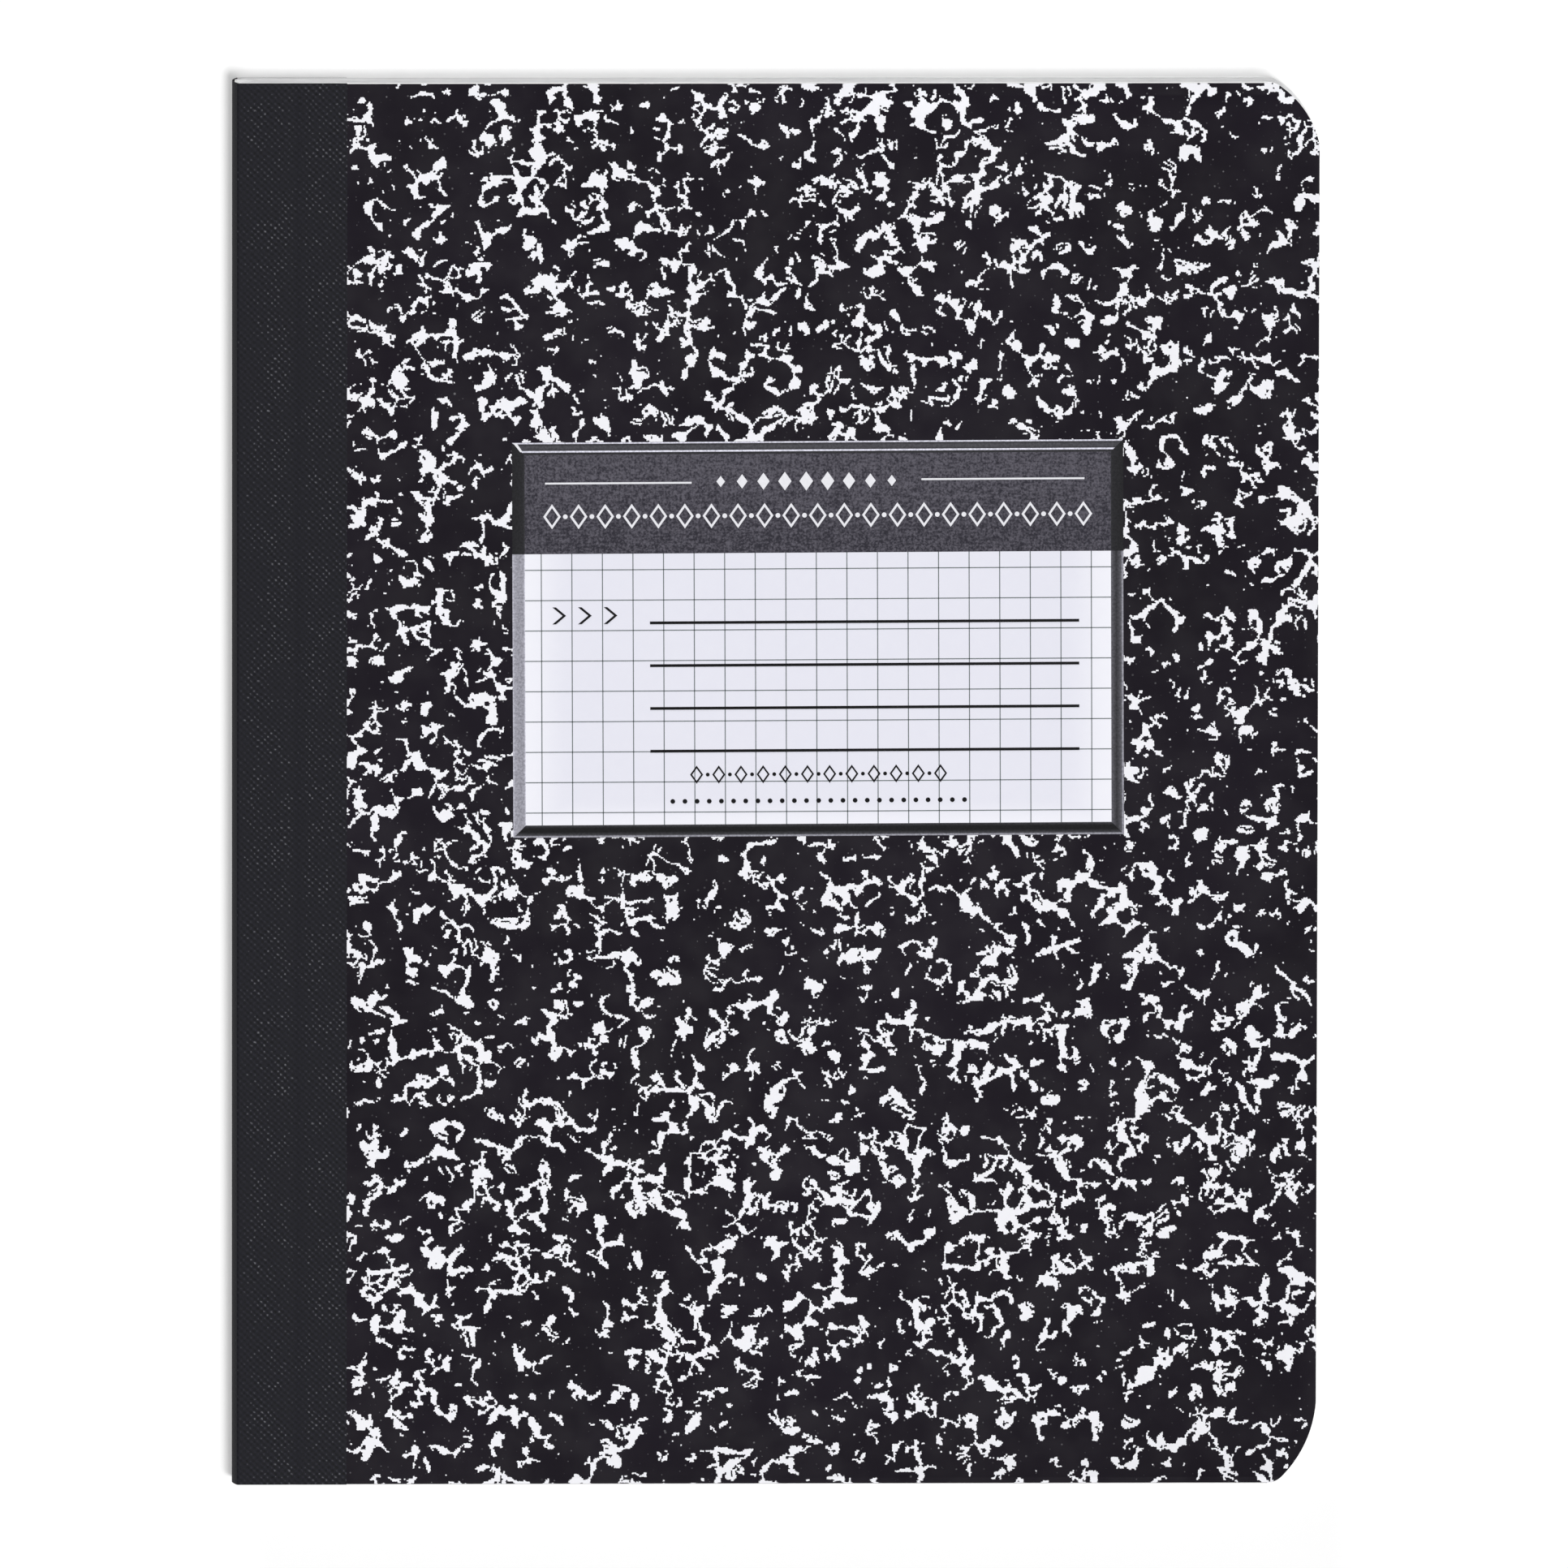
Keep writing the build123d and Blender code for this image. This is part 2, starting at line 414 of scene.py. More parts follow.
def add_board(name, marbling, turned_over):
    """A board: its profile carried from tail to head along the trimmed edge, and closed at both ends.

    Points of the profile that lie in from the fore-edge line are moved back along its normal, which also
    rounds the printed side's rim at the head and the tail."""
    rows = board_profile()
    inset = np.array([0.0 if row[0] is None else row[0] for row in rows])
    on_edge = np.array([row[0] is not None for row in rows])
    fixed_x = np.array([row[1] for row in rows])
    height = np.array([row[2] for row in rows])
    end_inset = np.where(height > board_thickness - outer_rounding / 2, outer_rounding, inset)
    x = np.where(on_edge, edge_points[:, :1] - edge_normals[:, :1] * inset, fixed_x)
    y = edge_points[:, 1:] - edge_normals[:, 1:] * end_inset
    z = np.broadcast_to(board_low[2] + height, x.shape)
    around, stations = len(rows), len(x)
    sides = carried_faces(stations, around)
    finish = np.tile([row[3] for row in rows], stations - 1)
    tail_cap = list(range(around))[::-1]
    head_cap = [(stations - 1) * around + k for k in range(around)]
    if turned_over:
        z = 2 * book_middle - z
    else:
        sides, tail_cap, head_cap = sides[:, ::-1], tail_cap[::-1], head_cap[::-1]
    faces = sides.tolist() + [tail_cap, head_cap]
    finish = np.concatenate([finish, [CARD, CARD]])
    points = np.stack([x, y, z], -1)
    board = add_mesh(name, points, faces, [marbling, card_finish, lining_finish], finish, 40)
    add_bake_map(board.data, np.tile(np.arange(around), stations - 1), around, z.ravel())
    return board


for side, shift, turned_over in (("front", (0, 0, 0), False), ("back", (310, 140, 20), True)):
    board = add_board(f"{side}_board", marbled_paper(f"marbled_{side}", shift), turned_over)
    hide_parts(f"{side}_cover")
    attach(board, side)

# ---- The leaves ----
# Forty sheets of white writing paper, folded once and laid inside one another to make eighty leaves. They
# are trimmed after sewing, so the edges are nearly flush, and each cut leaf still stands a little apart.

rng = np.random.default_rng(80)
block_low, block_high = (np.array(corner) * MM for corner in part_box("page_block"))
sheet_count = 40
least_trim, most_trim = 0.01, 0.12  # how far a cut leaf stands behind the knife's line
usual_drift, most_drift = 0.002, 0.003  # of a leaf's height at its cut edge
leaf_pitch = (block_high[2] - block_low[2]) / (2 * sheet_count)
paper_thickness = 0.086
fold_start = block_low[0] + 0.05
fold_pitch = 0.092  # leaves are pressed a little harder in the fold than elsewhere
folded_paper = 0.075
leg_start = block_low[0] + 4.8  # where the fold's bend ends and the flat leaf begins


PAPER_DARK, PAPER_LIGHT = (0.73, 0.735, 0.74, 1), (0.91, 0.91, 0.915, 1)


def writing_paper():
    """Uncoated white paper with a faint cloud. The cut edges take a slightly different tone leaf by leaf,
    and again by handfuls of leaves, as the knife and the light find them."""
    paper = Finish("writing_paper")
    by_leaf = paper.vector("MULTIPLY", paper.place, (0.01, 0.01, 1 / leaf_pitch))
    by_handful = paper.vector("MULTIPLY", paper.place, (0.006, 0.006, 1.6))
    handful_tone = paper.math("MULTIPLY", paper.noise(by_handful, 1.0, 1.0), 0.55)
    edge_tone = paper.math("MULTIPLY_ADD", paper.noise(by_leaf, 1.0), 0.45, handful_tone)
    cloud = paper.noise(paper.place, 2.5, 3.0, 0.6)
    tone = paper.math("MULTIPLY_ADD", edge_tone, 0.7, paper.math("MULTIPLY", cloud, 0.3))
    colour = paper.mix(paper.ramp(tone, 0.25, 0.7), PAPER_DARK, PAPER_LIGHT)
    paper.bump(paper.noise(paper.place, 0.15, 2.0, 0.6), 0.006)
    return paper.done(colour, paper.ramp(cloud, 0.2, 0.8, 0.7, 0.85), 0.2)


def folded_sheets():
    """Points of all sheets as [sheet, station, side, point along the U].

    Seen from the head, each side of a sheet is a U: two straight legs, and a fold that is half of a
    superellipse, z = h sgn(sin a) sqrt|sin a| and x = apex + depth (1 - sqrt|cos a|). The outer side has
    half a paper more height and depth than the inner one. Each leg ends at the trimmed edge."""
    turn = np.linspace(-math.pi / 2, math.pi / 2, 15)
    fold_z = np.sign(np.sin(turn)) * np.sqrt(abs(np.sin(turn)))
    fold_x = 1 - np.sqrt(np.clip(np.cos(turn), 0, 1))
    points, normals = trimmed_edge(13)
    level = np.arange(sheet_count)[:, None, None, None]
    outward = np.array([1.0, -1.0])[None, None, :, None]
    shape = (sheet_count, len(points), 2, len(turn) + 2)
    half_height = (block_high[2] - block_low[2]) / 2 - (level + 0.5) * leaf_pitch
    half_height = half_height + outward * paper_thickness / 2
    apex = fold_start + (level + 0.5) * fold_pitch - outward * folded_paper / 2
    legs = (sheet_count, 1, 1, 2)  # each sheet's lower and upper leg
    trim = rng.uniform(least_trim, most_trim, legs)
    drift = rng.normal(0, usual_drift, legs).clip(-most_drift, most_drift)
    edge_x = points[:, 0][None, :, None, None] - normals[:, 0][None, :, None, None] * trim
    edge_y = points[:, 1][None, :, None, None] - normals[:, 1][None, :, None, None] * trim
    x = np.empty(shape)
    y = np.empty(shape)
    z = np.empty(shape)
    x[..., 1:-1] = apex + (leg_start - apex) * fold_x
    z[..., 1:-1] = half_height * fold_z
    y[..., 1:-1] = edge_y.mean(-1, keepdims=True)
    x[..., ::len(turn) + 1] = edge_x
    y[..., ::len(turn) + 1] = edge_y
    z[..., ::len(turn) + 1] = half_height * np.array([-1, 1]) + drift
    return np.stack([x, y, z + book_middle], -1)


def add_leaves():
    """All sheets in one piece: both sides of each U, closed all round along its cut edges."""
    points = folded_sheets()
    sheets, stations, _, along = points.shape[:4]
    loop = np.concatenate([points[:, :, 0], points[:, :, 1, ::-1]], 2)
    around = 2 * along
    sides = carried_faces(stations, around)
    k = np.arange(along - 1)
    tail_caps = np.stack([k + 1, k, around - 1 - k, around - 2 - k], 1)
    head_caps = tail_caps[:, ::-1] + (stations - 1) * around
    one_sheet = np.concatenate([sides, tail_caps, head_caps])
    faces = (one_sheet[None] + np.arange(sheets)[:, None, None] * stations * around).reshape(-1, 4)
    return add_mesh("leaves", loop, faces.tolist(), [writing_paper()], smooth_angle=35)


leaves = add_leaves()
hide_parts("page_block")
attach(leaves, "block")

# The first and last pages are ruled in pale blue-grey squares, five to the inch, up to a narrow margin.
rule_pitch = 25.4 / 5
rule_width = 0.14
ink_height = 0.012
page_margin_x = leg_start + 2.2
page_margin_y = 6.0
fore_edge_margin = 3.0
RULING_DARK, RULING_LIGHT = (0.34, 0.46, 0.56, 1), (0.5, 0.62, 0.7, 1)


def flat_shapes(name, outlines, low_z, high_z, finish):
    """Thin printed shapes: each outline, given anticlockwise as [shape, corner, X and Y], becomes a film
    from one height to another, with a top, a bottom and a wall all round."""
    outlines = np.asarray(outlines, float)
    shapes, corners = outlines.shape[:2]
    layers = np.empty((shapes, 2, corners, 3))
    layers[..., :2] = outlines[:, None]
    layers[:, 0, :, 2] = low_z
    layers[:, 1, :, 2] = high_z
    k = np.arange(corners)
    ahead = (k + 1) % corners
    walls = np.stack([k, ahead, corners + ahead, corners + k], 1)
    faces = []
    for start in np.arange(shapes) * 2 * corners:
        faces += (walls + start).tolist()
        faces += [(k[::-1] + start).tolist(), (k + corners + start).tolist()]
    return add_mesh(name, layers, faces, [finish])


def rectangles(x0, x1, y0, y1):
    """Corner points of rectangles between two places along X and two along Y, given as arrays."""
    x0, x1, y0, y1 = np.broadcast_arrays(*(np.asarray(v, float) for v in (x0, x1, y0, y1)))
    corners = np.stack([np.stack([x0, x1, x1, x0], -1), np.stack([y0, y0, y1, y1], -1)], -1)
    return corners.reshape(-1, 4, 2)


def ruled_squares():
    """Outlines of the ruling on one page: lines along X between the margins, and lines along Y."""
    half = rule_width / 2
    far_x = fore_edge_x - fore_edge_margin
    lines_y = np.arange(-head_y + page_margin_y, head_y - page_margin_y + half, rule_pitch)
    lines_x = np.arange(page_margin_x + rule_pitch, far_x, rule_pitch)
    level = rectangles(page_margin_x, far_x, lines_y - half, lines_y + half)
    upright = rectangles(lines_x - half, lines_x + half, lines_y[0], lines_y[-1])
    return np.concatenate([level, upright])


def ruling_ink():
    """Pale blue-grey ruling ink, lighter where the press left less of it."""
    ink = Finish("ruling_ink")
    colour = ink.mix(ink.noise(ink.place, 1.2, 2.0), RULING_DARK, RULING_LIGHT)
    return ink.done(colour, 0.8, 0.2)


ruling = ruling_ink()
page_top = block_high[2] - (leaf_pitch - paper_thickness) / 2
page_bottom = block_low[2] + (leaf_pitch - paper_thickness) / 2
for name, low_z, high_z in (
    ("first_page_ruling", page_top - ink_height, page_top + ink_height),
    ("last_page_ruling", page_bottom - ink_height, page_bottom + ink_height),
):
    page_ruling = flat_shapes(name, ruled_squares(), low_z, high_z, ruling)
    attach(page_ruling, "block")

# ---- The sewing ----
# A lock stitch of white cotton through the fold: one thread along its back and one in the middle opening.
# The threads keep their own solids and take a twisted finish.

# The groove colour is painted shade between the plies
COTTON_GROOVE_SHADE, COTTON_TOP = (0.5, 0.5, 0.48, 1), (0.82, 0.82, 0.79, 1)


def cotton_thread():
    """Three-ply cotton: painted shade in the grooves between plies runs slantwise round the thread."""
    cotton = Finish("cotton_thread")
    x, y, z = cotton.separate(cotton.place)
    slant = cotton.math("MULTIPLY_ADD", z, 6.0, cotton.math("MULTIPLY", y, 5.0))
    ply = cotton.math("MULTIPLY_ADD", cotton.math("SINE", slant), 0.5, 0.5)
    fuzz = cotton.noise(cotton.place, 0.12, 2.0, 0.7)
    # painted shade: the grooves between plies are darkened
    colour = cotton.mix(ply, COTTON_GROOVE_SHADE, COTTON_TOP)
    cotton.bump(cotton.math("MULTIPLY_ADD", fuzz, 0.3, ply), 0.05)
    return cotton.done(colour, cotton.ramp(fuzz, 0.2, 0.8, 0.7, 0.9), 0.2, 0.3)


thread_finish = cotton_thread()
for name in ("outer_thread", "inner_thread"):
    thread_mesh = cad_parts[name].data
    thread_mesh.materials.clear()
    thread_mesh.materials.append(thread_finish)

# ---- The cloth tape ----
# One strip of blue-black filled cloth, glued round the spine and pressed flush into both boards, with an
# embossed weave and a scored crease on each flap. It is made in two halves that meet along the middle of
# the spine.

spine_bulge = 0.9
shoulder_x = spine_x + spine_bulge  # where the rounded spine meets the boards' faces
fold_radius = 0.5
weave_across, weave_along = 1.2, 1.15  # from bump to bump
weave_depth = 0.05


def tape_path():
    """The upper half's outer line, its normals and its length so far, in the plane across the spine.

    It climbs the spine, x = spine + bulge (height / half the book)^2, leaves it on a circle that touches
    spine and board, and runs to the flap's edge, with a trough of 1 - t^2 where it is scored."""
    half = book_top / 2
    bulge = shoulder_x - spine_x
    climbed = half
    for _ in range(6):  # the circle's first point and the spine's lean there, each found from the other
        lean = math.atan(2 * bulge * climbed / half**2)
        climbed = half - fold_radius * (1 - math.sin(lean))
    climb = np.linspace(0, climbed, 12)
    spine = np.stack([spine_x + bulge * (climb / half) ** 2, climb], 1)
    turn = np.linspace(math.pi - lean, math.pi / 2, 12)[1:]
    centre = np.array([spine[-1, 0] + fold_radius * math.cos(lean), half - fold_radius])
    fold = centre + fold_radius * np.stack([np.cos(turn), np.sin(turn)], 1)
    trough_x = spine_x + score_start
    near = np.linspace(fold[-1, 0], trough_x, 6)[1:-1]
    trough = np.linspace(-1, 1, 9)
    far = np.linspace(trough_x + score_width, flap_x, 5)[1:]
    flap_run = np.concatenate([near, trough_x + score_width * (1 + trough) / 2, far])
    dip = np.concatenate([0 * near, score_depth * (1 - trough**2), 0 * far])
    line = np.concatenate([spine, fold, np.stack([flap_run, half - dip], 1)])
    run = np.gradient(line, axis=0)
    run /= np.linalg.norm(run, axis=1, keepdims=True)
    length = np.concatenate([[0], np.cumsum(np.linalg.norm(np.diff(line, axis=0), axis=1))])
    return line, np.stack([-run[:, 1], run[:, 0]], 1), length


# The pit colour is painted shade in the weave's hollows, and the top colour a painted highlight on its
# bumps
CLOTH_PIT_SHADE = (0.0015, 0.0016, 0.0028, 1)
CLOTH_DARK = (0.0035, 0.0037, 0.0062, 1)
CLOTH_MIDDLE = (0.0125, 0.0124, 0.0188, 1)
CLOTH_TOP_HIGHLIGHT = (0.135, 0.137, 0.15, 1)


def filled_cloth():
    """Blue-black cloth, filled and embossed.

    Its bumps stand on a half-offset lattice: the sum of a cosine across the one diagonal and a weaker one
    across the other, so that each bump is a short slanting dash. Tops carry a painted highlight and pits
    a painted shade. The crease and the edge of the spine are pressed smooth."""
    cloth = Finish("filled_cloth", uv_map="cloth")
    across, along, _ = cloth.separate(cloth.place)
    wander = cloth.math("MULTIPLY_ADD", cloth.noise(cloth.place, 2.2, 1.0), 0.8, -0.4)
    column = cloth.math("MULTIPLY", cloth.math("ADD", across, wander), 2 * math.pi / weave_across)
    row = cloth.math("MULTIPLY", along, 2 * math.pi / weave_along)
    falling = cloth.math("COSINE", cloth.math("ADD", column, row))
    rising = cloth.math("COSINE", cloth.math("SUBTRACT", column, row))
    weave = cloth.math("MULTIPLY_ADD", falling, 0.6, cloth.math("MULTIPLY", rising, 0.4))
    patchy = cloth.ramp(cloth.noise(cloth.place, 5.0, 2.0), 0.3, 0.7, 0.45, 1.0)
    uneven = cloth.ramp(cloth.noise(cloth.place, 0.9, 1.0), 0.3, 0.7, 0.3, 1.25)
    flap = cloth.math("SUBTRACT", cloth.math("ABSOLUTE", across), book_top / 2)
    crease = cloth.math("ABSOLUTE", cloth.math("SUBTRACT", flap, score_start + score_width / 2))
    crease_wear = cloth.ramp(crease, 0.7, 1.7, 0.6, 1.0)
    edge_wear = cloth.ramp(flap, 0.3, 3.0, 0.55, 1.0)
    pressed = cloth.math("MULTIPLY", crease_wear, edge_wear)
    strength = cloth.math("MULTIPLY", patchy, cloth.math("MULTIPLY", uneven, pressed))
    weave = cloth.math("MULTIPLY", weave, strength)
    fine = cloth.noise(cloth.place, 0.3, 2.0, 0.65)
    woven = cloth.math("MULTIPLY_ADD", weave, 0.55, fine)
    colour = cloth.mix(cloth.ramp(woven, 0.25, 0.8), CLOTH_DARK, CLOTH_MIDDLE)
    # painted shade: the pits of the weave are darkened
    colour = cloth.mix(cloth.ramp(woven, 0.3, -0.1, 0.0, 0.9), colour, CLOTH_PIT_SHADE)
    # painted highlight: the tops of the weave are lightened
    colour = cloth.mix(cloth.ramp(woven, 0.72, 1.2), colour, CLOTH_TOP_HIGHLIGHT)
    height = cloth.math("MULTIPLY_ADD", weave, 0.5, cloth.math("MULTIPLY", fine, 0.35))
    cloth.bump(height, weave_depth)
    return cloth.done(colour, cloth.ramp(fine, 0.2, 0.8, 0.65, 0.8), 0.2)


def add_tape_half(name, side, finish):
    """Half of the tape, on the side of the book's middle plane that side (1 or -1) names.

    The path's outer line and a line one tape inside it make a closed loop, carried from tail to head. Its
    map named cloth gives the length along the path and the place along the spine, in metres."""
    line, normal, length = tape_path()
    inside = line - normal * tape_thickness
    inside[0, 1] = 0
    loop = np.concatenate([line, inside[::-1]])
    loop_length = np.concatenate([length, length[::-1]])
    stations = np.linspace(-head_y, head_y, 41)
    around = len(loop)
    points = np.empty((len(stations), around, 3))
    points[..., 0] = loop[:, 0]
    points[..., 1] = stations[:, None]
    points[..., 2] = book_middle + side * loop[:, 1]
    sides = carried_faces(len(stations), around)
    half = len(line)
    k = np.arange(half - 1)
    tail_caps = np.stack([k, around - 1 - k, around - 2 - k, k + 1], 1)
    head_caps = tail_caps[:, ::-1] + (len(stations) - 1) * around
    faces = np.concatenate([sides, tail_caps, head_caps])
    if side < 0:
        faces = faces[:, ::-1]
    tape = add_mesh(name, points, faces.tolist(), [finish], smooth_angle=50)
    vertex = np.empty(len(tape.data.loops), np.int32)
    tape.data.loops.foreach_get("vertex_index", vertex)
    run = side * loop_length[vertex % around]
    cloth_map = np.stack([run, stations[vertex // around]], 1) / MM
    tape.data.uv_layers.new(name="cloth").data.foreach_set("uv", cloth_map.ravel())
    return tape


cloth_finish = filled_cloth()
for name, side, board in (("tape_front_half", 1, "front"), ("tape_back_half", -1, "back")):
    tape = add_tape_half(name, side, cloth_finish)
    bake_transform(tape)
    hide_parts("spine_tape")

# ---- The label ----
# Printed on the front board: a dark header over a pale squared field with four writing lines, in a frame
# shaded like a bevelled plate. Rows of lozenges and dots stand where a maker would set words.

label_middle = np.array([7.5, 25.8])
label_half = np.array([53.6, 34.9])
label_turn = 0.0049  # the sheet was cut a little out of square with its print, in radians
frame_width = 2.2
header_bottom = 15.2  # over the label's middle
film = 0.02  # height of one layer of ink
ink_low = book_top - film


def on_label(outlines):
    """Outlines given about the label's middle, turned and moved to their place on the board."""
    cosine, sine = math.cos(label_turn), math.sin(label_turn)
    return np.asarray(outlines, float) @ np.array([[cosine, sine], [-sine, cosine]]) + label_middle


def add_print(name, outlines, layer, finish):
    """Ink on the front board: layer 1 lies on the marbled paper, and each further one on the last."""
    piece = flat_shapes(name, on_label(outlines), ink_low, book_top + film * layer, finish)
    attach(piece, "front")
    return piece


def add_print_rings(name, outer, inner, layer, finish):
    """Rings of ink on the front board. Each pair of outlines, given anticlockwise as [ring, corner, X and
    Y], becomes a film between them, with a top, a bottom and a wall round the outside and the inside."""
    loops = on_label(np.stack([outer, inner], 1))
    rings, _, corners = loops.shape[:3]
    points = np.empty((rings, 2, 2, corners, 3))  # ring, low or high, outer or inner, corner
    points[..., :2] = loops[:, None]
    points[:, 0, ..., 2] = ink_low
    points[:, 1, ..., 2] = book_top + film * layer
    k = np.arange(corners)
    ahead = (k + 1) % corners
    low_inner, high_outer, high_inner = corners, 2 * corners, 3 * corners
    parts = np.stack([
        np.stack([k, ahead, high_outer + ahead, high_outer + k], 1),
        np.stack([high_outer + k, high_outer + ahead, high_inner + ahead, high_inner + k], 1),
        np.stack([low_inner + ahead, low_inner + k, high_inner + k, high_inner + ahead], 1),
        np.stack([ahead, k, low_inner + k, low_inner + ahead], 1),
    ], 1).reshape(-1, 4)
    faces = (parts[None] + np.arange(rings)[:, None, None] * 4 * corners).reshape(-1, 4)
    piece = add_mesh(name, points, faces.tolist(), [finish])
    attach(piece, "front")
    return piece


HEADER_DARK, HEADER_LIGHT = (0.024, 0.0225, 0.032, 1), (0.11, 0.104, 0.128, 1)
FIELD_MIDDLE, FIELD_RIM = (0.755, 0.755, 0.84, 1), (0.87, 0.87, 0.93, 1)
ink_roughness, ink_specular = 0.68, 0.12


def header_ink():
    """Dark blue-grey ink with the grain of linen: fine speckle over faint level and upright streaks, a
    little lighter towards the head."""
    ink = Finish("header_ink", shift=(0, -label_middle[1] - header_bottom, 0))
    level = ink.noise(ink.vector("MULTIPLY", ink.place, (0.35, 2.6, 1)), 1.0, 2.0)
    upright = ink.noise(ink.vector("MULTIPLY", ink.place, (2.6, 0.35, 1)), 1.0, 2.0)
    streaks = ink.math("MULTIPLY_ADD", level, 0.5, ink.math("MULTIPLY", upright, 0.5))
    speckle = ink.noise(ink.place, 0.42, 2.0, 0.75)
    grain = ink.math("MULTIPLY_ADD", streaks, 0.35, ink.math("MULTIPLY", speckle, 0.65))
    climb = ink.separate(ink.place)[1]
    grain = ink.math("ADD", grain, ink.ramp(climb, 0.0, 18.0, -0.02, 0.02))
    colour = ink.mix(ink.ramp(grain, 0.38, 0.64), HEADER_DARK, HEADER_LIGHT)
    ink.bump(ink.noise(ink.place, paper_grain, 2.0, 0.6), grain_depth)
    return ink.done(colour, ink_roughness, ink_specular)


def field_paper():
    """Pale cool field, a touch lighter towards its rim."""
    field = Finish("label_field", shift=(-label_middle[0], -label_middle[1], 0))
    x, y, _ = field.separate(field.place)
    reach_x = field.math("DIVIDE", field.math("ABSOLUTE", x), label_half[0])
    reach_y = field.math("DIVIDE", field.math("ABSOLUTE", y), label_half[1])
    reach = field.math("MAXIMUM", reach_x, reach_y)
    cloud = field.noise(field.place, 2.0, 3.0, 0.6)
    rim = field.math("MULTIPLY_ADD", cloud, 0.25, field.ramp(reach, 0.8, 0.96, 0.0, 0.75))
    colour = field.mix(rim, FIELD_MIDDLE, FIELD_RIM)
    field.bump(field.noise(field.place, paper_grain, 2.0, 0.6), grain_depth)
    return field.done(colour, 0.66, 0.15)


def plain_ink(name, dark, light):
    """Solid ink, a little uneven in strength."""
    ink = Finish(name)
    colour = ink.mix(ink.noise(ink.place, 0.6, 2.0), dark, light)
    return ink.done(colour, ink_roughness, ink_specular)


white_ink = plain_ink("white_ink", (0.72, 0.72, 0.76, 1), (0.86, 0.86, 0.9, 1))
black_ink = plain_ink("black_ink", (0.0015, 0.0015, 0.002, 1), (0.006, 0.006, 0.007, 1))
grid_ink = plain_ink("grid_ink", (0.10, 0.12, 0.125, 1), (0.18, 0.205, 0.21, 1))

inner_half = label_half - frame_width
header_area = rectangles(-inner_half[0], inner_half[0], header_bottom, inner_half[1])
add_print("label_header", header_area, 1, header_ink())
field_area = rectangles(-inner_half[0], inner_half[0], -inner_half[1], header_bottom)
add_print("label_field", field_area, 1, field_paper())


def bevel_finish(name, stops):
    """One side of the frame: bands of grey from its outer line (0) to its inner one (1), read from the
    attribute named across."""
    side = Finish(name)
    across = side.nodes.new("ShaderNodeAttribute")
    across.attribute_name = "across"
    bands = side.nodes.new("ShaderNodeValToRGB")
    side.put(across.outputs["Fac"], bands.inputs["Fac"])
    elements = bands.color_ramp.elements
    while len(elements) < len(stops):
        elements.new(0.5)
    for element, (position, grey) in zip(elements, stops):
        element.position = position
        element.color = (grey * 0.98, grey * 0.97, grey * 1.12, 1)
    speckle = side.ramp(side.noise(side.place, 0.4, 2.0, 0.7), 0.25, 0.75, 0.7, 1.3)
    shade = side.vector("SCALE", bands.outputs["Color"], speckle)
    return side.done(shade, ink_roughness, ink_specular)


def add_bevel():
    """The frame: a mitred ring of film in six lengths, anticlockwise from the top. The upright sides are
    cut where the header ends, because they are nearly black beside it."""
    beside_header = bevel_finish("bevel_beside_header", [(0.0, 0.014), (0.85, 0.019), (1.0, 0.03)])
    finishes = [
        bevel_finish("bevel_top", [
            (0.0, 0.05), (0.03, 0.7), (0.1, 0.7), (0.15, 0.025), (0.35, 0.07), (0.55, 0.06),
            (0.65, 0.03), (0.7, 0.75), (0.78, 0.75), (0.83, 0.022), (0.95, 0.03),
        ]),
        beside_header,
        bevel_finish("bevel_left", [
            (0.0, 0.42), (0.06, 0.47), (0.14, 0.34), (0.45, 0.305), (0.85, 0.31), (0.93, 0.4),
            (1.0, 0.68),
        ]),
        bevel_finish("bevel_bottom", [
            (0.0, 0.1), (0.05, 0.32), (0.12, 0.28), (0.18, 0.06), (0.3, 0.03), (0.45, 0.008),
            (0.75, 0.009), (0.9, 0.03), (1.0, 0.07),
        ]),
        bevel_finish("bevel_right", [
            (0.0, 0.1), (0.05, 0.32), (0.11, 0.3), (0.18, 0.105), (0.45, 0.05), (0.58, 0.034),
            (0.8, 0.07), (1.0, 0.12),
        ]),
        beside_header,
    ]
    turn_x, turn_y = np.array([1, -1, -1, -1, 1, 1]), np.array([1, 1, 0, -1, -1, 0])
    outer = np.stack([turn_x * label_half[0], turn_y * label_half[1]], 1)
    inner = np.stack([turn_x * inner_half[0], turn_y * inner_half[1]], 1)
    outer[turn_y == 0, 1] = inner[turn_y == 0, 1] = header_bottom
    bevel = add_print_rings("label_bevel", outer[None], inner[None], 1, finishes[0])
    for finish in finishes[1:]:
        bevel.data.materials.append(finish)
    lengths = len(finishes)
    faces_around = 4  # of each length: outer wall, top, inner wall and bottom
    finish_of_face = np.repeat(np.arange(lengths), faces_around).astype(np.int32)
    bevel.data.polygons.foreach_set("material_index", finish_of_face)
    across = np.tile(np.repeat([0.0, 1.0], lengths), 2)
    bevel.data.attributes.new("across", "FLOAT", "POINT").data.foreach_set("value", across)


add_bevel()
glint = [[(-53.35, 34.8), (-52.1, 33.2), (-51.75, 33.35), (-52.75, 34.8)]]  # light caught by the mitre
add_print("bevel_glint", glint, 2, white_ink)

# The squared field, and on it four lines to write on. Places are from the label's middle.
grid_pitch = 5.36
grid_half = 0.085
grid_first_x, grid_columns = -48.52, 19
grid_first_y, grid_rows = 12.37, 9
grid_x = grid_first_x + grid_pitch * np.arange(grid_columns)
grid_y = grid_first_y - grid_pitch * np.arange(grid_rows)
grid_lines = np.concatenate([
    rectangles(-inner_half[0], inner_half[0], grid_y - grid_half, grid_y + grid_half),
    rectangles(grid_x - grid_half, grid_x + grid_half, -inner_half[1], header_bottom),
])
add_print("label_grid", grid_lines, 2, grid_ink)

